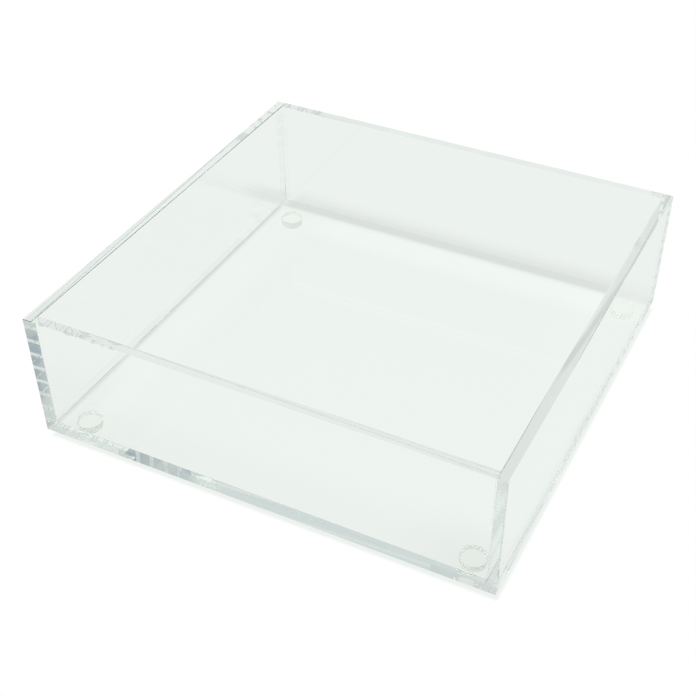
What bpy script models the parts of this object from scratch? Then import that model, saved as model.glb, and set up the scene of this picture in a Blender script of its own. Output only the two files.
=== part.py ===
"""Clear acrylic organizer: a square open tray welded from five cut sheets, on four stick-on bumpers.

The base is the full size of the tray. The two side walls stand on it and run the whole depth, and the
front and back walls fit between them. Each sheet has square edges where it is welded and a finely
rounded, polished arris where the edge stays bare. A soft bumper is stuck under each corner.

Lengths are in metres with +Z up. X runs along the front wall and Y from the front to the back. The
origin is on the table, under the middle of the tray.
"""

import math

import bmesh
import bpy
from mathutils import Matrix, Vector

MM = 0.001

# Tray, measured over the outside of the sheets
tray_width = 177.8 * MM
tray_depth = 177.8 * MM
tray_height = 50.8 * MM

# Sheet stock, its welds and its polished edges
sheet_thickness = 3.7 * MM
weld_gap = 0.3 * MM
arris_radius = 0.45 * MM
arris_segments = 3

# Bumpers: a turned, tapered body of soft clear plastic, and the adhesive disc that holds it
bumper_diameter = 10.0 * MM
bumper_foot_diameter = 0.84 * bumper_diameter
bumper_height = 2.5 * MM
bumper_rounding = 0.3 * MM
adhesive_diameter = bumper_diameter - 2 * bumper_rounding
adhesive_thickness = 0.4 * MM
stick_gap = 0.3 * MM
round_steps = 64
rounding_steps = 6

# Places of the bumpers: their centres, measured in from the sheet's outer edges
bumper_inset_x = 12.5 * MM
bumper_inset_y = 12.5 * MM

# Each bumper is stuck on by hand, so it lies a share of its own diameter off that place.
# The first share is towards the middle along X, and the second towards the middle along Y.
stuck_off_shares = {
    "front_left": (-0.03, -0.07),
    "front_right": (-0.02, 0.05),
    "back_left": (-0.03, 0.10),
    "back_right": (0.03, -0.02),
}

# Heights, from the table up
adhesive_bottom = bumper_height + stick_gap
adhesive_top = adhesive_bottom + adhesive_thickness
base_bottom = adhesive_top + stick_gap
base_top = base_bottom + sheet_thickness
wall_bottom = base_top + weld_gap
rim_height = base_bottom + tray_height

# Outward directions of a sheet's six faces
UP = Vector((0, 0, 1))
DOWN = -UP
RIGHT = Vector((1, 0, 0))
LEFT = -RIGHT
BACK = Vector((0, 1, 0))
FRONT = -BACK


def clear_plastic(name, colour, roughness, refraction):
    """A see-through plastic, made anew for each piece."""
    material = bpy.data.materials.new(name)
    material.use_nodes = True
    shader = material.node_tree.nodes["Principled BSDF"]
    shader.inputs["Base Color"].default_value = colour
    shader.inputs["Metallic"].default_value = 0
    shader.inputs["Roughness"].default_value = roughness
    shader.inputs["IOR"].default_value = refraction
    shader.inputs["Transmission Weight"].default_value = 1
    material.diffuse_color = colour
    return material


def acrylic(name):
    return clear_plastic(f"{name}_acrylic", (0.92, 0.95, 0.93, 1), 0.02, 1.49)


def urethane(name):
    return clear_plastic(f"{name}_urethane", (0.90, 0.94, 0.86, 1), 0.12, 1.50)


def adhesive(name):
    return clear_plastic(f"{name}_adhesive", (0.93, 0.94, 0.88, 1), 0.30, 1.47)


def add_object(name, mesh, place, material):
    """Puts a mesh in the organizer's collection, under its empty."""
    piece = bpy.data.objects.new(name, mesh)
    piece.location = place
    piece.parent = organizer
    mesh.materials.append(material)
    collection.objects.link(piece)
    return piece


def add_sheet(name, low, high, bare_edges):
    """One cut sheet between two corners. Each bare edge is named by the two faces that meet at it."""
    mesh = bpy.data.meshes.new(name)
    shape = bmesh.new()
    bmesh.ops.create_cube(shape, size=1, matrix=Matrix.Diagonal((high - low).to_4d()))
    arris_weight = shape.edges.layers.float.new("bevel_weight_edge")
    for edge in shape.edges:
        facing = {tuple(round(part) for part in face.normal) for face in edge.link_faces}
        edge[arris_weight] = float(any({tuple(a), tuple(b)} == facing for a, b in bare_edges))
    shape.to_mesh(mesh)
    shape.free()
    sheet = add_object(name, mesh, (low + high) / 2, acrylic(name))
    arris = sheet.modifiers.new("polished_arris", "BEVEL")
    arris.limit_method = "WEIGHT"
    arris.width = arris_radius
    arris.segments = arris_segments
    return sheet


def add_base():
    """The base is welded along its upper edges, so only its corners and its underside are rounded."""
    sides = (FRONT, RIGHT, BACK, LEFT)
    corners = list(zip(sides, sides[1:] + sides[:1]))
    underside = [(side, DOWN) for side in sides]
    low = Vector((-tray_width / 2, -tray_depth / 2, base_bottom))
    high = Vector((tray_width / 2, tray_depth / 2, base_top))
    return add_sheet("base_plate", low, high, corners + underside)


def add_side_wall(name, outward):
    """A side wall stands on the base, runs the whole depth and shows both of its ends."""
    outer = outward.x * tray_width / 2
    inner = outward.x * (tray_width / 2 - sheet_thickness)
    low = Vector((min(outer, inner), -tray_depth / 2, wall_bottom))
    high = Vector((max(outer, inner), tray_depth / 2, rim_height))
    rim = [(UP, side) for side in (LEFT, RIGHT, FRONT, BACK)]
    ends = [(outward, FRONT), (outward, BACK)]
    return add_sheet(name, low, high, rim + ends)


def add_cross_wall(name, outward):
    """The front and back walls fit between the side walls, so only their rims are bare."""
    outer = outward.y * tray_depth / 2
    inner = outward.y * (tray_depth / 2 - sheet_thickness)
    end = tray_width / 2 - sheet_thickness - weld_gap
    low = Vector((-end, min(outer, inner), wall_bottom))
    high = Vector((end, max(outer, inner), rim_height))
    return add_sheet(name, low, high, [(UP, FRONT), (UP, BACK)])


def rounding(centre_radius, centre_height, start, end):
    """Points of a rounded corner, turning from one angle to the other."""
    for step in range(rounding_steps + 1):
        angle = start + (end - start) * step / rounding_steps
        yield (
            centre_radius + bumper_rounding * math.cos(angle),
            0,
            centre_height + bumper_rounding * math.sin(angle),
        )


def bumper_mesh():
    """The bumper's half section: flat on top, a side that tapers down, and a flat foot."""
    widest = bumper_diameter / 2 - bumper_rounding
    foot = bumper_foot_diameter / 2
    taper = math.atan2(widest - foot, bumper_height - 2 * bumper_rounding)
    upper = rounding(widest, bumper_height - bumper_rounding, math.pi / 2, -taper)
    lower = rounding(foot, bumper_rounding, -taper, -math.pi / 2)
    points = [(0, 0, bumper_height), *upper, *lower, (0, 0, 0)]
    mesh = bpy.data.meshes.new("bumper_section")
    mesh.from_pydata(points, [(i, i + 1) for i in range(len(points) - 1)], [])
    return mesh


def add_bumper(corner, place):
    """The turned body, with its flat foot on the table."""
    name = f"bumper_{corner}"
    bumper = add_object(name, bumper_mesh(), place, urethane(name))
    turn = bumper.modifiers.new("turned", "SCREW")
    turn.axis = "Z"
    turn.steps = round_steps
    turn.render_steps = round_steps
    turn.use_merge_vertices = True
    turn.merge_threshold = 0.01 * MM
    return bumper


def add_adhesive(corner, place):
    """The die-cut disc between the bumper and the base, a little smaller than the bumper."""
    name = f"adhesive_{corner}"
    mesh = bpy.data.meshes.new(name)
    shape = bmesh.new()
    bmesh.ops.create_cone(
        shape,
        cap_ends=True,
        segments=round_steps,
        radius1=adhesive_diameter / 2,
        radius2=adhesive_diameter / 2,
        depth=adhesive_thickness,
    )
    shape.to_mesh(mesh)
    shape.free()
    mesh.shade_smooth()
    mesh.set_sharp_from_angle(angle=math.radians(40))
    middle = Vector((0, 0, (adhesive_bottom + adhesive_top) / 2))
    return add_object(name, mesh, place + middle, adhesive(name))


def bumper_place(corner, side_x, side_y):
    """The bumper's centre on the table. The sides are 1 or -1."""
    share_x, share_y = stuck_off_shares[corner]
    inset_x = bumper_inset_x + share_x * bumper_diameter
    inset_y = bumper_inset_y + share_y * bumper_diameter
    return Vector((side_x * (tray_width / 2 - inset_x), side_y * (tray_depth / 2 - inset_y), 0))


for old in list(bpy.data.objects):
    bpy.data.objects.remove(old, do_unlink=True)

collection = bpy.data.collections.new("acrylic_organizer")
bpy.context.scene.collection.children.link(collection)
organizer = bpy.data.objects.new("organizer", None)
collection.objects.link(organizer)

# Sheets, in the order in which they are welded
add_base()
add_side_wall("left_wall", LEFT)
add_side_wall("right_wall", RIGHT)
add_cross_wall("back_wall", BACK)
add_cross_wall("front_wall", FRONT)

# Bumpers, stuck on last
for corner, side_x, side_y in (
    ("front_left", -1, -1),
    ("front_right", 1, -1),
    ("back_left", -1, 1),
    ("back_right", 1, 1),
):
    place = bumper_place(corner, side_x, side_y)
    add_adhesive(corner, place)
    add_bumper(corner, place)
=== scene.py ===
"""Looks of the clear acrylic tray organizer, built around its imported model.

Metres, +Z up. X runs along the front wall and Y from front to back. The table is at z = 0.
"""

import math

import bmesh
import bpy
from mathutils import Matrix, Vector


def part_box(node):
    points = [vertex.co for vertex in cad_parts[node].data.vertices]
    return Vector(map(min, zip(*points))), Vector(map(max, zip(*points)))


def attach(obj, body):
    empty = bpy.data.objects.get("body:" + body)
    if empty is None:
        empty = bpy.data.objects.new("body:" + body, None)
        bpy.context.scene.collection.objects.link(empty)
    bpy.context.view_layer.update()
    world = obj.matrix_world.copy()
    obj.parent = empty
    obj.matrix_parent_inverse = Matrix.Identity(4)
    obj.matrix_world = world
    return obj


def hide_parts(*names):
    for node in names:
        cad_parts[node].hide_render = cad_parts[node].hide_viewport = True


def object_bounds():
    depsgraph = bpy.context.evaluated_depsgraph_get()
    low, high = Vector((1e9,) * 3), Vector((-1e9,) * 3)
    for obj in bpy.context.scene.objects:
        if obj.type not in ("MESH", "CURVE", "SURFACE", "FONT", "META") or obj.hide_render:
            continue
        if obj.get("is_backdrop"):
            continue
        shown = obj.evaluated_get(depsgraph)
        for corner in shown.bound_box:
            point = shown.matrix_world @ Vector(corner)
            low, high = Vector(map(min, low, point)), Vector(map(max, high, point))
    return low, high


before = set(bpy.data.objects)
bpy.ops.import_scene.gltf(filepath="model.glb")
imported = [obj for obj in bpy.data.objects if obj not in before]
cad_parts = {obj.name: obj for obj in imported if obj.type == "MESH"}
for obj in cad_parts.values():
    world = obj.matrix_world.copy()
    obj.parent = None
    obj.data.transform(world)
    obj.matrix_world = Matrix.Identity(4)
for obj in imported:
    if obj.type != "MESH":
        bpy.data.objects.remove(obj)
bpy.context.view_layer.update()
scene = bpy.context.scene
MM = 0.001

# Base sheet
# A full-size square of clear cast acrylic with diamond-polished edges. The walls stand on its rim and are
# welded to it with solvent, so the base has no surface of its own there, nor where a foot is stuck on.
base_low, base_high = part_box("base_plate")
half_width, half_depth = base_high.x, base_high.y
sheet = base_high.z - base_low.z
inner_x, inner_y = half_width - sheet, half_depth - sheet
weld_film = 0.02 * MM
weld_groove = 0.12 * MM
cut_corner = 0.04 * MM
arris_segments = 3
round_profile = 0.5
round_steps = 64
merge_distance = 0.001 * MM
UP, DOWN = Vector((0, 0, 1)), Vector((0, 0, -1))
RIGHT, LEFT = Vector((1, 0, 0)), Vector((-1, 0, 0))
BACK, FRONT = Vector((0, 1, 0)), Vector((0, -1, 0))
SIDES = (FRONT, RIGHT, BACK, LEFT)

# A face looks in a direction when the cosine of the angle between them is over the first of these. It
# belongs to a sheet's edge, not to a broad side, when the cosine to the broad side is under the second.
looks_that_way = 0.999
edge_of_sheet = 0.5

foot_centres = {}
for corner in ("front_left", "front_right", "back_left", "back_right"):
    foot_low, foot_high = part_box(f"bumper_{corner}")
    foot_centres[corner] = (foot_low + foot_high) / 2
foot_radius = (foot_high.x - foot_low.x) / 2
foot_top_rounding = 0.1 * MM
contact_radius = foot_radius - foot_top_rounding

acrylic_tint = (0.45, 0.85, 0.78, 1)
colourless = (1, 1, 1, 1)
# Grey that marked edges and rims are darkened towards: a painted shade for the darker tones they show.
painted_edge_grey = (0.45, 0.49, 0.48, 1)
full_frost_roughness = 0.5
noise_middle = 0.5

# Sockets of a Mix node that mixes colours
FACTOR, FIRST_COLOUR, SECOND_COLOUR, MIXED_COLOUR = 0, 6, 7, 2


def calculate(tree, operation, *values):
    """A math node in the tree. Each value is a number or another node's output."""
    node = tree.nodes.new("ShaderNodeMath")
    node.operation = operation
    for socket, value in zip(node.inputs, values):
        if isinstance(value, (int, float)):
            socket.default_value = value
        else:
            tree.links.new(value, socket)
    return node.outputs[0]


def finish_group():
    """The casting's slow waves, the cutter's ripples, and a painted shade on marked edges, streaked by
    ripples.
    """
    group = bpy.data.node_groups.new("acrylic_finish", "ShaderNodeTree")
    sockets = group.interface
    sockets.new_socket("Vector", in_out="INPUT", socket_type="NodeSocketVector")
    default_values = {"Wave Height": 0.0, "Wave Scale": 40.0, "Ripple Height": 0.0, "Ripple Scale": 90.0}
    for name, value in default_values.items():
        sockets.new_socket(name, in_out="INPUT", socket_type="NodeSocketFloat").default_value = value
    sockets.new_socket("Height", in_out="OUTPUT", socket_type="NodeSocketFloat")
    sockets.new_socket("Edge Shade", in_out="OUTPUT", socket_type="NodeSocketFloat")
    nodes, links = group.nodes, group.links
    given = nodes.new("NodeGroupInput")
    result = nodes.new("NodeGroupOutput")
    polished, edge_shade = nodes.new("ShaderNodeAttribute"), nodes.new("ShaderNodeAttribute")
    polished.attribute_name, edge_shade.attribute_name = "polished", "edge_shade"
    waves = nodes.new("ShaderNodeTexNoise")
    waves.inputs["Detail"].default_value = 1
    ripples = nodes.new("ShaderNodeTexNoise")
    ripples.inputs["Detail"].default_value = 2
    for texture, scale in ((waves, "Wave Scale"), (ripples, "Ripple Scale")):
        links.new(given.outputs["Vector"], texture.inputs["Vector"])
        links.new(given.outputs[scale], texture.inputs["Scale"])
    wave_height = calculate(group, "MULTIPLY", waves.outputs["Fac"], given.outputs["Wave Height"])
    ripple_height = calculate(group, "MULTIPLY", ripples.outputs["Fac"], given.outputs["Ripple Height"])
    height = calculate(group, "MULTIPLY_ADD", ripple_height, polished.outputs["Fac"], wave_height)
    links.new(height, result.inputs["Height"])
    # Painted shade on marked edges, streaked by the ripples.
    streaks = calculate(group, "ADD", ripples.outputs["Fac"], noise_middle)
    edge_shading = calculate(group, "MULTIPLY", streaks, edge_shade.outputs["Fac"])
    links.new(edge_shading, result.inputs["Edge Shade"])
    return group


acrylic_finish = finish_group()


def clear_plastic(name, colour, roughness, refraction, wave_height=0, ripple_height=0):
    """Clear plastic. A face's weld value is the share of its surface that is gone, where it is bonded.

    Its soft value is the share that is gone only for light on its way out. A frosted face is rough.
    """
    material = bpy.data.materials.new(name)
    material.use_nodes = True
    tree = material.node_tree
    nodes, links = tree.nodes, tree.links
    shader = nodes["Principled BSDF"]
    shader.inputs["Metallic"].default_value = 0
    shader.inputs["IOR"].default_value = refraction
    shader.inputs["Transmission Weight"].default_value = 1
    weld, soft, frosted = (nodes.new("ShaderNodeAttribute") for _ in range(3))
    weld.attribute_name, soft.attribute_name, frosted.attribute_name = "weld", "soft", "frosted"
    side = nodes.new("ShaderNodeNewGeometry")
    gone = calculate(
        tree, "MULTIPLY_ADD", soft.outputs["Fac"], side.outputs["Backfacing"], weld.outputs["Fac"]
    )
    surface = calculate(tree, "SUBTRACT", 1, gone)
    links.new(surface, shader.inputs["Alpha"])
    frosting = calculate(tree, "MULTIPLY_ADD", frosted.outputs["Fac"], full_frost_roughness, roughness)
    links.new(frosting, shader.inputs["Roughness"])
    place = nodes.new("ShaderNodeTexCoord")
    finish = nodes.new("ShaderNodeGroup")
    finish.node_tree = acrylic_finish
    finish.inputs["Wave Height"].default_value = wave_height
    finish.inputs["Ripple Height"].default_value = ripple_height
    # Marked edges get a base colour darkened towards the grey, a painted shade.
    shade = nodes.new("ShaderNodeMix")
    shade.data_type = "RGBA"
    shade.inputs[FIRST_COLOUR].default_value = colour
    shade.inputs[SECOND_COLOUR].default_value = painted_edge_grey
    links.new(finish.outputs["Edge Shade"], shade.inputs[FACTOR])
    links.new(shade.outputs[MIXED_COLOUR], shader.inputs["Base Color"])
    bump = nodes.new("ShaderNodeBump")
    bump.inputs["Strength"].default_value = 1
    bump.inputs["Distance"].default_value = 1
    links.new(place.outputs["Object"], finish.inputs["Vector"])
    links.new(finish.outputs["Height"], bump.inputs["Height"])
    links.new(bump.outputs["Normal"], shader.inputs["Normal"])
    return material


def tint_inside(material, colour, density):
    """Tints the light by how far it travels through the plastic."""
    nodes, links = material.node_tree.nodes, material.node_tree.links
    tint = nodes.new("ShaderNodeVolumeAbsorption")
    tint.inputs["Color"].default_value = colour
    tint.inputs["Density"].default_value = density
    links.new(tint.outputs["Volume"], nodes["Material Output"].inputs["Volume"])


def acrylic(name):
    """Colourless to look through, and green only along the sheet."""
    material = clear_plastic(
        f"{name}_acrylic",
        colourless,
        roughness=0,
        refraction=1.49,
        wave_height=0.004 * MM,
        ripple_height=0.006 * MM,
    )
    tint_inside(material, acrylic_tint, density=0.35)
    return material


def faces_to(face, direction):
    return face.normal.dot(direction) > looks_that_way


def runs_between(edge, pair):
    """Whether an edge has a face to each of two directions."""
    return all(any(faces_to(face, way) for face in edge.link_faces) for way in pair)


def cut_sheet(low, high, rounded, cuts, bonded, edge_finish):
    """A sheet between two corners. Its edges are rounded by size, and its bonded faces get the weld value.

    Each edge finish gives a polished edge's facing, its stretch, its painted shade and how frosted it is.
    A rounded edge is fully frosted.
    """
    shape = bmesh.new()
    place = Matrix.Translation((low + high) / 2) @ Matrix.Diagonal((high - low).to_4d())
    bmesh.ops.create_cube(shape, size=1, matrix=place)
    for radius, pairs in rounded.items():
        shape.normal_update()
        edges = [edge for edge in shape.edges if any(runs_between(edge, pair) for pair in pairs)]
        bmesh.ops.bevel(
            shape, geom=edges, offset=radius, segments=arris_segments, profile=round_profile, affect="EDGES"
        )
    for point, direction in cuts:
        everything = shape.verts[:] + shape.edges[:] + shape.faces[:]
        bmesh.ops.bisect_plane(
            shape, geom=everything, plane_co=point, plane_no=direction, dist=merge_distance
        )
    shape.normal_update()
    weld = shape.faces.layers.float.new("weld")
    polished = shape.faces.layers.float.new("polished")
    frosted = shape.faces.layers.float.new("frosted")
    edge_shading = shape.faces.layers.float.new("edge_shade")
    size = high - low
    broad = min((RIGHT, BACK, UP), key=lambda axis: abs(size.dot(axis)))
    for face in shape.faces:
        at = face.calc_center_median()
        face[weld] = float(bonded(face, at))
        face[polished] = float(abs(face.normal.dot(broad)) < edge_of_sheet)
        face[frosted] = float(max(abs(part) for part in face.normal) < looks_that_way)
        # An edge finish sets a face's painted shade and its frost.
        for way, (start_x, end_x), edge_shade, frost in edge_finish:
            if faces_to(face, way) and start_x < at.x < end_x:
                face[edge_shading] = edge_shade
                face[frosted] = frost
    return shape


def arc(centre_r, centre_z, radius, start, end, steps):
    for step in range(steps + 1):
        angle = start + (end - start) * step / steps
        yield centre_r + radius * math.cos(angle), centre_z + radius * math.sin(angle)


def add_sheet(name, shape, node):
    mesh = bpy.data.meshes.new(name)
    shape.to_mesh(mesh)
    shape.free()
    mesh.materials.append(acrylic(name))
    piece = bpy.data.objects.new(name, mesh)
    scene.collection.objects.link(piece)
    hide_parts(node)
    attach(piece, "root")


def bond_foot(shape, centre):
    """Cuts a round face into the underside's four-sided cell over a foot, and gives it the weld value.

    Each quarter of the round is joined to one corner of the cell.
    """
    weld = shape.faces.layers.float["weld"]

    def turn(vert):
        return math.atan2(vert.co.y - centre.y, vert.co.x - centre.x)

    def over_foot(face):
        at = face.calc_center_median()
        return faces_to(face, DOWN) and max(abs(at.x - centre.x), abs(at.y - centre.y)) < foot_radius / 2

    cell = next(face for face in shape.faces if over_foot(face))
    corners = sorted(cell.verts, key=turn)
    bmesh.ops.delete(shape, geom=[cell], context="FACES_ONLY")
    spots = arc(0, 0, contact_radius, -math.pi, math.pi, round_steps)
    ring = [shape.verts.new((centre.x + x, centre.y + y, base_low.z)) for x, y in list(spots)[:-1]]
    quarter = round_steps // 4
    for step, vert in enumerate(ring):
        corner = corners[step // quarter]
        shape.faces.new((corner, vert, ring[(step + 1) % round_steps]))
        if step % quarter == 0:
            shape.faces.new((corners[step // quarter - 1], vert, corner))
    shape.faces.new(ring)[weld] = 1


def cuts_at_x(places):
    """Upright cuts that run from front to back."""
    return [(Vector((x, 0, 0)), RIGHT) for x in places]


def cuts_at_y(places):
    """Upright cuts that run from left to right."""
    return [(Vector((0, y, 0)), BACK) for y in places]


# The front edge came off the cutter in stretches, each frosted its own way and darkened by its own painted
# shade. From the left: where each one ends, how dark its painted shade is and how frosted it is. The other
# edges of the tray have one finish from end to end.
front_stretches = (
    (-57 * MM, 0.3, 0.25),
    (-51 * MM, 0.85, 0.1),
    (-31 * MM, 0.12, 0.03),
    (-14 * MM, 0, 0.4),
    (66 * MM, 0, 0.12),
    (half_width, 0.35, 0.35),
)
right_edge_frost = 0.08
whole_edge = (-1, 1)
stretch_ends = [end for end, edge_shade, frost in front_stretches]
base_finish = [
    (FRONT, (start, end), edge_shade, frost)
    for start, (end, edge_shade, frost) in zip([-half_width, *stretch_ends], front_stretches)
]
base_finish.append((RIGHT, whole_edge, 0, right_edge_frost))

# The walls' inner faces, the stretches and the cells over the feet part the base's faces. A cell is a
# little larger than its foot.
wall_cuts = cuts_at_y((inner_y, -inner_y))
cell_sides_x = (70 * MM, 83 * MM)
cell_sides_y = (69.5 * MM, 83.5 * MM)
base_cuts = [
    *wall_cuts,
    *cuts_at_x((inner_x, -inner_x)),
    *cuts_at_x(stretch_ends[:-1]),
    *cuts_at_x([side * x for x in cell_sides_x for side in (-1, 1)]),
    *cuts_at_y([side * y for y in cell_sides_y for side in (-1, 1)]),
]
upright_corners = list(zip(SIDES, SIDES[1:] + SIDES[:1]))

base_shape = cut_sheet(
    base_low,
    base_high,
    {
        weld_groove: [(side, DOWN) for side in (FRONT, LEFT, RIGHT)],
        cut_corner: [*upright_corners, (BACK, DOWN)],
    },
    base_cuts,
    lambda face, at: faces_to(face, UP) and (abs(at.x) > inner_x or abs(at.y) > inner_y),
    base_finish,
)
for centre in foot_centres.values():
    bond_foot(base_shape, centre)
bmesh.ops.recalc_face_normals(base_shape, faces=base_shape.faces[:])
add_sheet("base_sheet", base_shape, "base_plate")

# Side walls
# Two strips of the same sheet that stand on the base and run its whole depth. Their rims and both ends
# are polished, and a hair-fine groove is left along the inside of the weld at their foot.
wall_foot = base_high.z + weld_film
# The rims and the side walls' front ends carry a painted shade that darkens them.
for side, outward, rim_arris, rim_shade, end_shade, frosted_end in (
    ("left", LEFT, 0.2 * MM, 0.04, 0.15, 0),
    ("right", RIGHT, 0.12 * MM, 0.34, 0, 0.35),
):
    low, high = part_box(f"{side}_wall")
    low.z = wall_foot
    shape = cut_sheet(
        low,
        high,
        {
            rim_arris: [(UP, way) for way in SIDES],
            weld_groove: [(-outward, DOWN)],
            cut_corner: [(outward, FRONT), (outward, BACK)],
        },
        wall_cuts,
        lambda face, at: faces_to(face, DOWN) or (faces_to(face, -outward) and abs(at.y) > inner_y),
        [(UP, whole_edge, rim_shade, 0), (FRONT, whole_edge, end_shade, frosted_end)],
    )
    add_sheet(f"{side}_sheet", shape, f"{side}_wall")

# Front and back walls
# Two shorter strips of the same sheet, welded between the side walls and onto the base. Only their rims
# are polished and bare.
cross_rim_arris = 0.12 * MM
# The rims carry a painted shade that darkens them.
for side, inward, rim_shade in (("front", BACK, 0.14), ("back", FRONT, 0.3)):
    low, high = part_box(f"{side}_wall")
    low.x, low.z, high.x = weld_film - inner_x, wall_foot, inner_x - weld_film
    shape = cut_sheet(
        low,
        high,
        {
            cross_rim_arris: [(UP, FRONT), (UP, BACK)],
            weld_groove: [(inward, DOWN), (inward, LEFT), (inward, RIGHT)],
        },
        [],
        lambda face, at: faces_to(face, DOWN) or faces_to(face, LEFT) or faces_to(face, RIGHT),
        [(UP, whole_edge, rim_shade, 0)],
    )
    add_sheet(f"{side}_sheet", shape, f"{side}_wall")

# Bubbles in the welds
# Air that the solvent trapped where the walls meet at the front corners, and a few longer bubbles just
# under the front rim. They are glints a fraction of a millimetre wide.
bubble_detail = 2
bubble_seed = 3
weld_height = base_high.z
rim_depth = 0.7 * MM
rim_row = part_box("front_wall")[1].z - rim_depth

# Each patch of bubbles is level: two of its corners, and its height.
weld_patches = (
    ((-half_width + 0.4 * MM, -half_depth + 0.3 * MM), (-inner_x + 3 * MM, 0.6 * MM - inner_y), weld_height),
    ((inner_x - 1.2 * MM, -half_depth + 0.3 * MM), (half_width - 0.4 * MM, 1.2 * MM - inner_y), weld_height),
)
rim_patches = (
    ((-inner_x + 2 * MM, -half_depth + 0.9 * MM), (-inner_x + 34 * MM, -half_depth + 1.3 * MM), rim_row),
)


def bubble_scatter():
    """Small balls spread over the faces that the bubbles lie in."""
    tree = bpy.data.node_groups.new("weld_bubbles", "GeometryNodeTree")
    sockets = tree.interface
    sockets.new_socket("Geometry", in_out="INPUT", socket_type="NodeSocketGeometry")
    for name, kind in (
        ("Per Square Metre", "NodeSocketFloat"),
        ("Least Size", "NodeSocketVector"),
        ("Greatest Size", "NodeSocketVector"),
        ("Seed", "NodeSocketInt"),
        ("Material", "NodeSocketMaterial"),
    ):
        sockets.new_socket(name, in_out="INPUT", socket_type=kind)
    sockets.new_socket("Geometry", in_out="OUTPUT", socket_type="NodeSocketGeometry")
    nodes, links = tree.nodes, tree.links
    given, result = nodes.new("NodeGroupInput"), nodes.new("NodeGroupOutput")
    places = nodes.new("GeometryNodeDistributePointsOnFaces")
    ball = nodes.new("GeometryNodeMeshIcoSphere")
    ball.inputs["Radius"].default_value = 1
    ball.inputs["Subdivisions"].default_value = bubble_detail
    smooth = nodes.new("GeometryNodeSetShadeSmooth")
    size = nodes.new("FunctionNodeRandomValue")
    size.data_type = "FLOAT_VECTOR"
    balls = nodes.new("GeometryNodeInstanceOnPoints")
    whole = nodes.new("GeometryNodeRealizeInstances")
    finished = nodes.new("GeometryNodeSetMaterial")
    links.new(given.outputs["Geometry"], places.inputs["Mesh"])
    links.new(given.outputs["Per Square Metre"], places.inputs["Density"])
    links.new(given.outputs["Seed"], places.inputs["Seed"])
    links.new(given.outputs["Least Size"], size.inputs[0])
    links.new(given.outputs["Greatest Size"], size.inputs[1])
    links.new(given.outputs["Seed"], size.inputs["Seed"])
    links.new(ball.outputs["Mesh"], smooth.inputs["Geometry"])
    links.new(places.outputs["Points"], balls.inputs["Points"])
    links.new(smooth.outputs["Geometry"], balls.inputs["Instance"])
    links.new(size.outputs[0], balls.inputs["Scale"])
    links.new(balls.outputs["Instances"], whole.inputs["Geometry"])
    links.new(whole.outputs["Geometry"], finished.inputs["Geometry"])
    links.new(given.outputs["Material"], finished.inputs["Material"])
    links.new(finished.outputs["Geometry"], result.inputs["Geometry"])
    return tree


# Inside plastic, a bubble throws back nearly all the light that meets it at a slant, so it is a mirror.
bubble_material = clear_plastic("bubble_air", colourless, roughness=0.05, refraction=1.3)
bubble_shader = bubble_material.node_tree.nodes["Principled BSDF"]
bubble_shader.inputs["Transmission Weight"].default_value = 0
bubble_shader.inputs["Metallic"].default_value = 1
bubble_tree = bubble_scatter()

# How many bubbles there are to a square metre, and the half sizes of the least and the greatest, in
# millimetres.
for name, patches, crowding, least, greatest in (
    ("weld_bubbles", weld_patches, 1100000.0, (0.1, 0.1, 0.08), (0.45, 0.25, 0.2)),
    ("rim_bubbles", rim_patches, 450000.0, (0.5, 0.15, 0.12), (1.6, 0.3, 0.22)),
):
    shape = bmesh.new()
    for (low_x, low_y), (high_x, high_y), height in patches:
        spots = ((low_x, low_y), (high_x, low_y), (high_x, high_y), (low_x, high_y))
        shape.faces.new([shape.verts.new((x, y, height)) for x, y in spots])
    carrier_mesh = bpy.data.meshes.new("bubble_faces")
    shape.to_mesh(carrier_mesh)
    shape.free()
    carrier = bpy.data.objects.new("bubble_faces", carrier_mesh)
    scene.collection.objects.link(carrier)
    scatter = carrier.modifiers.new("bubbles", "NODES")
    scatter.node_group = bubble_tree
    settings = {
        "Per Square Metre": crowding,
        "Least Size": [size * MM for size in least],
        "Greatest Size": [size * MM for size in greatest],
        "Seed": bubble_seed,
        "Material": bubble_material,
    }
    for item in bubble_tree.interface.items_tree:
        if item.in_out == "INPUT" and item.name in settings:
            scatter[item.identifier] = settings[item.name]
    evaluated = carrier.evaluated_get(bpy.context.evaluated_depsgraph_get())
    bubbles = bpy.data.objects.new(name, bpy.data.meshes.new_from_object(evaluated))
    bpy.data.objects.remove(carrier, do_unlink=True)
    scene.collection.objects.link(bubbles)
    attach(bubbles, "root")

# Feet
# Bumpers of clear soft urethane, faintly yellow, which taper down to a flat foot. Each is stuck on with a
# die-cut disc of clear adhesive.
foot_flat_share = 0.84
foot_flat = foot_flat_share * foot_radius
foot_rounding = 0.3 * MM
foot_rounding_steps = 8
foot_top_steps = 3
adhesive_film = 0.15 * MM
side_frost = 0.4
crease = math.radians(35)
urethane_colour = (0.98, 1, 0.96, 1)
urethane_tint = (0.74, 0.87, 0.5, 1)
adhesive_colour = (0.97, 0.98, 0.94, 1)

# A round face is upright when the slope of its normal is under the first of these, and level when it is
# over the second.
upright_limit = 0.95
level_limit = 0.99

# The share of a foot's side that lets light out unbent, and the share of its flat that grips the table so
# closely that no light turns back there
soft_sides = {"front_left": 0.75, "front_right": 0.72, "back_left": 0.72, "back_right": 0.9}
table_contacts = {"front_left": 0.45, "front_right": 0.35, "back_left": 0.6, "back_right": 0.6}


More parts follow.
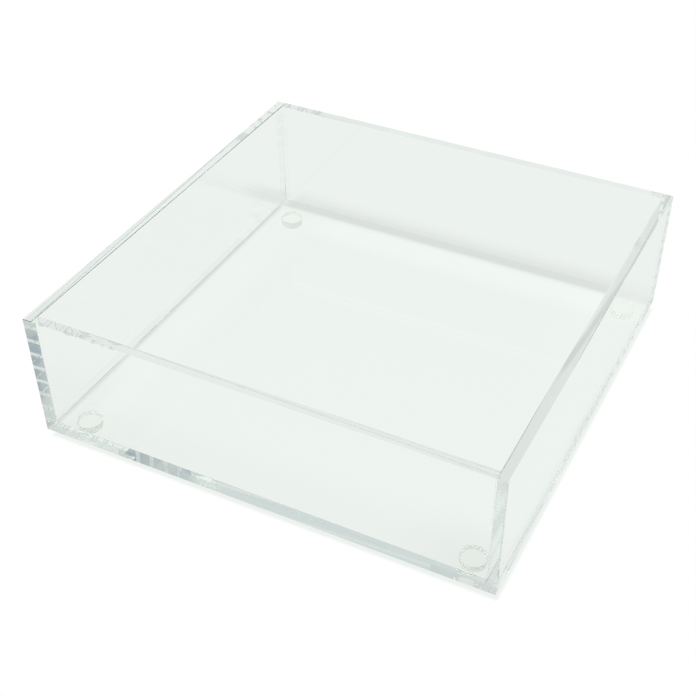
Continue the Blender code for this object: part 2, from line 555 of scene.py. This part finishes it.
def turned(name, centre, profile, soft_side, bonded):
    """A round body from its half section, which runs from the axis round to the axis again."""
    shape = bmesh.new()
    verts = [shape.verts.new((centre.x + r, centre.y, z)) for r, z in profile]
    edges = [shape.edges.new(pair) for pair in zip(verts, verts[1:])]
    bmesh.ops.spin(
        shape, geom=verts + edges, cent=(centre.x, centre.y, 0), axis=UP, angle=math.tau, steps=round_steps
    )
    bmesh.ops.remove_doubles(shape, verts=shape.verts, dist=merge_distance)
    bmesh.ops.recalc_face_normals(shape, faces=shape.faces[:])
    weld = shape.faces.layers.float.new("weld")
    soft = shape.faces.layers.float.new("soft")
    frosted = shape.faces.layers.float.new("frosted")
    for face in shape.faces:
        face[weld] = bonded(face)
        upright = abs(face.normal.z) < upright_limit
        face[soft] = soft_side if upright else 0
        face[frosted] = side_frost if upright else 0
        face.smooth = True
    mesh = bpy.data.meshes.new(name)
    shape.to_mesh(mesh)
    shape.free()
    mesh.set_sharp_from_angle(angle=crease)
    piece = bpy.data.objects.new(name, mesh)
    scene.collection.objects.link(piece)
    return piece


def urethane(name):
    material = clear_plastic(name, urethane_colour, roughness=0.1, refraction=1.50, wave_height=0.002 * MM)
    tint_inside(material, urethane_tint, density=14)
    return material


disc_top = base_low.z - weld_film
foot_top = disc_top - adhesive_film
disc_low = foot_top + weld_film
side_taper = math.atan2(foot_radius - foot_rounding - foot_flat, foot_top - 2 * foot_rounding)
shoulder = (foot_radius - foot_top_rounding, foot_top - foot_top_rounding, foot_top_rounding)
heel = (foot_flat, foot_rounding + weld_film, foot_rounding)
for corner, centre in foot_centres.items():
    table_contact = table_contacts[corner]
    disc = turned(
        f"{corner}_disc",
        centre,
        [(0, disc_top), (contact_radius, disc_top), (contact_radius, disc_low), (0, disc_low)],
        soft_sides[corner],
        lambda face: float(abs(face.normal.z) > level_limit),
    )
    disc.data.materials.append(
        clear_plastic(f"{corner}_adhesive", adhesive_colour, roughness=0.1, refraction=1.47)
    )
    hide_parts(f"adhesive_{corner}")
    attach(disc, "root")
    bumper = turned(
        f"{corner}_foot",
        centre,
        [
            (0, foot_top),
            (contact_radius, foot_top),
            *arc(*shoulder, math.pi / 2, -side_taper, foot_top_steps),
            *arc(*heel, -side_taper, -math.pi / 2, foot_rounding_steps),
            (0, weld_film),
        ],
        soft_sides[corner],
        lambda face: table_contact if face.normal.z < -level_limit else float(face.normal.z > level_limit),
    )
    bumper.data.materials.append(urethane(f"{corner}_urethane"))
    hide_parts(f"bumper_{corner}")
    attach(bumper, "root")

# Table
# A plain white table. Seen through the plastic it glows a painted shade darker and greener. Painted light
# and shade make it uneven under and beside the tray, standing for the plastic bending light away from some
# places and onto others.
table_mesh = bpy.data.meshes.new("table")
table_reach = 6
shape = bmesh.new()
bmesh.ops.create_grid(shape, x_segments=1, y_segments=1, size=table_reach)
shape.to_mesh(table_mesh)
shape.free()
table = bpy.data.objects.new("table", table_mesh)
scene.collection.objects.link(table)
table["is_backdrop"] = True

seen_directly = (1, 1, 1, 1)
seen_through = (0.847, 0.888, 0.855, 1)
painted_lift_under_tray = 0.04
material = bpy.data.materials.new("white_table")
material.use_nodes = True
table_tree = material.node_tree
nodes, links = table_tree.nodes, table_tree.links
nodes.remove(nodes["Principled BSDF"])
place = nodes.new("ShaderNodeNewGeometry")
spot = nodes.new("ShaderNodeSeparateXYZ")
links.new(place.outputs["Position"], spot.inputs[0])


def fade(tree, value, start, end):
    """0 before the start and 1 past the end, with a soft step between them."""
    node = tree.nodes.new("ShaderNodeMapRange")
    node.interpolation_type = "SMOOTHSTEP"
    node.inputs["From Min"].default_value = start
    node.inputs["From Max"].default_value = end
    if start > end:
        node.inputs["From Min"].default_value = end
        node.inputs["From Max"].default_value = start
        node.inputs["To Min"].default_value = 1
        node.inputs["To Max"].default_value = 0
    tree.links.new(value, node.inputs["Value"])
    return node.outputs["Result"]


def band(value, start, full, hold, end):
    """Soft-edged band between two places on the table, in millimetres."""
    rise = fade(table_tree, value, start * MM, full * MM)
    fall = fade(table_tree, value, end * MM, hold * MM)
    return calculate(table_tree, "MULTIPLY", rise, fall)


# Where the tray stands. The camera sees the table there in the darker colour, a painted shadow, and the
# light seen through the plastic gets a painted lift there.
x, y = spot.outputs["X"], spot.outputs["Y"]
edge = half_width / MM
soft_edge = 2
right_hold, right_end = 0.4, 1.2
under_x = band(x, -edge, soft_edge - edge, edge - right_hold, edge + right_end)
under_y = band(y, -edge, soft_edge - edge, edge - soft_edge, edge)
under = calculate(table_tree, "MULTIPLY", under_x, under_y)

# Soft-edged patches of painted shade, or of painted light where the depth is negative: how dark each one is,
# its band across the table and along it, and how far it leans across for each millimetre along.
painted_shade_patches = (
    (0.145, (-90, -86, 83, 88), (85.7, 88.6, 92, 111), 0),
    (-0.045, (-80, -50, 80, 88), (66, 78, 84, 86.5), 0),
    (0.13, (-91, -89.1, -88.6, -87.7), (-88, -84, 84, 88), 0),
    (-0.02, (-87.7, -86, -80, -60), (-80, -60, 80, 86), 0),
    (0.06, (84.7, 85.7, 88.7, 89.6), (-92, -88, 88, 92), 0),
    (0.06, (82, 83.4, 84.7, 85.7), (-75, -60, 10, 30), 0),
    (0.15, (82.6, 83.6, 84.6, 85.6), (-10, 8, 90, 96), 0.065),
    (0.05, (-90, -86, 86, 90), (-93, -89.4, -85.7, -84.7), 0),
    (0.03, (-88, -84, 84, 88), (-85.7, -84, -76, -55), 0),
    (0.06, (40, 78, 85, 86), (-85.7, -84, -76, -50), 0),
    (0.08, (-122, -103, -93, -88), (86, 93, 99, 104), 0),
    (0.03, (-128, -112, -84, -78), (-90, -82, -60, -40), 0),
)
light = calculate(table_tree, "MULTIPLY_ADD", under, painted_lift_under_tray, 1)
for depth, across, along, lean in painted_shade_patches:
    leaned = calculate(table_tree, "MULTIPLY_ADD", y, -lean, x)
    patch = calculate(table_tree, "MULTIPLY", band(leaned, *across), band(y, *along))
    left_over = calculate(table_tree, "MULTIPLY_ADD", patch, -depth, 1)
    light = calculate(table_tree, "MULTIPLY", light, left_over)

# The camera sees white with the painted shadow under the tray; every other ray sees the darker colour in the
# painted light.
path = nodes.new("ShaderNodeLightPath")
direct = nodes.new("ShaderNodeMix")
direct.data_type = "RGBA"
direct.inputs[FIRST_COLOUR].default_value = seen_directly
direct.inputs[SECOND_COLOUR].default_value = seen_through
links.new(under, direct.inputs[FACTOR])
seen = nodes.new("ShaderNodeEmission")
links.new(direct.outputs[MIXED_COLOUR], seen.inputs["Color"])
through = nodes.new("ShaderNodeEmission")
through.inputs["Color"].default_value = seen_through
links.new(light, through.inputs["Strength"])
pick = nodes.new("ShaderNodeMixShader")
links.new(path.outputs["Is Camera Ray"], pick.inputs[0])
links.new(through.outputs[0], pick.inputs[1])
links.new(seen.outputs[0], pick.inputs[2])
links.new(pick.outputs[0], nodes["Material Output"].inputs["Surface"])
table_mesh.materials.append(material)

# Studio
# A pale room that lights the tray softly. It is brightest in front, behind and overhead, and darkest to the
# right, where small lighter and darker parts overhead give the polished edges something to mirror.
world = bpy.data.worlds.new("studio")
scene.world = world
world.use_nodes = True
room_tree = world.node_tree
nodes, links = room_tree.nodes, room_tree.links
background = nodes["Background"]
coordinates = nodes.new("ShaderNodeTexCoord")
separate = nodes.new("ShaderNodeSeparateXYZ")
links.new(coordinates.outputs["Generated"], separate.inputs[0])


def colour_ramp(*stops):
    """A soft run of colours, each with its place from 0 to 1."""
    ramp = nodes.new("ShaderNodeValToRGB")
    ramp.color_ramp.interpolation = "EASE"
    while len(ramp.color_ramp.elements) < len(stops):
        ramp.color_ramp.elements.new(0.5)
    for element, (position, colour) in zip(ramp.color_ramp.elements, stops):
        element.position = position
        element.color = (*colour, 1)
    return ramp


sideways = nodes.new("ShaderNodeMapRange")
sideways.inputs["From Min"].default_value = -1
sideways.inputs["From Max"].default_value = 1
links.new(separate.outputs["X"], sideways.inputs["Value"])
left_to_right = colour_ramp(
    (0.2, (0.52, 0.58, 0.59)),
    (0.29, (0.635, 0.69, 0.68)),
    (0.385, (0.635, 0.69, 0.68)),
    (0.42, (0.80, 0.84, 0.81)),
    (0.56, (0.82, 0.86, 0.84)),
    (0.66, (0.50, 0.55, 0.57)),
    (0.75, (0.44, 0.49, 0.51)),
    (0.8, (0.48, 0.53, 0.54)),
)
links.new(sideways.outputs["Result"], left_to_right.inputs[0])
room = nodes.new("ShaderNodeTexNoise")
room.inputs["Scale"].default_value = 34
room.inputs["Detail"].default_value = 1
links.new(coordinates.outputs["Generated"], room.inputs["Vector"])
parts = colour_ramp((0.38, (0.75, 0.80, 0.86)), (0.5, (1.0, 1.0, 1.0)), (0.62, (1.35, 1.32, 1.2)))
links.new(room.outputs["Fac"], parts.inputs[0])
lit = nodes.new("ShaderNodeMix")
lit.data_type = "RGBA"
lit.blend_type = "MULTIPLY"
right_of_tray = fade(room_tree, separate.outputs["X"], start=0.4, end=0.5)
overhead = fade(room_tree, separate.outputs["Z"], start=0.3, end=0.45)
links.new(calculate(room_tree, "MULTIPLY", right_of_tray, overhead), lit.inputs[FACTOR])
links.new(left_to_right.outputs[0], lit.inputs[FIRST_COLOUR])
links.new(parts.outputs[0], lit.inputs[SECOND_COLOUR])
links.new(lit.outputs[MIXED_COLOUR], background.inputs["Color"])
background.inputs["Strength"].default_value = 1

# Camera
# The photo's view, solved from the tray's corners. Places are in widths of the tray, and the lens is in
# pixels of a picture 696 pixels wide.
view_azimuth, view_elevation = math.radians(26.52), math.radians(41.12)
distance = 2.5758
right_of_middle, front_of_middle = 0.0516, 0.1403
picture_pixels, lens_pixels = 696, 1210.267
shift_left_pixels, shift_up_pixels = 14, 57
width = 2 * half_width
target = Vector((right_of_middle * width, -front_of_middle * width, base_low.z))
toward = Vector(
    (
        math.sin(view_azimuth) * math.cos(view_elevation),
        -math.cos(view_azimuth) * math.cos(view_elevation),
        math.sin(view_elevation),
    )
)
lens_data = bpy.data.cameras.new("camera")
lens_data.sensor_width = 36
lens_data.lens = lens_pixels / picture_pixels * lens_data.sensor_width
lens_data.shift_x = -shift_left_pixels / picture_pixels
lens_data.shift_y = shift_up_pixels / picture_pixels
lens_data.clip_start = 0.01
camera = bpy.data.objects.new("camera", lens_data)
camera.location = target + toward * distance * width
camera.rotation_euler = toward.to_track_quat("Z", "Y").to_euler()
scene.collection.objects.link(camera)
scene.camera = camera

# Light meets many faces of clear plastic before it leaves the tray.
light_bounces = 64
scene.view_settings.view_transform = "Standard"
scene.cycles.max_bounces = light_bounces
scene.cycles.transmission_bounces = light_bounces
scene.cycles.glossy_bounces = light_bounces
scene.cycles.transparent_max_bounces = light_bounces
scene.cycles.min_light_bounces = light_bounces
scene.cycles.min_transparent_bounces = light_bounces

low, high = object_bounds()
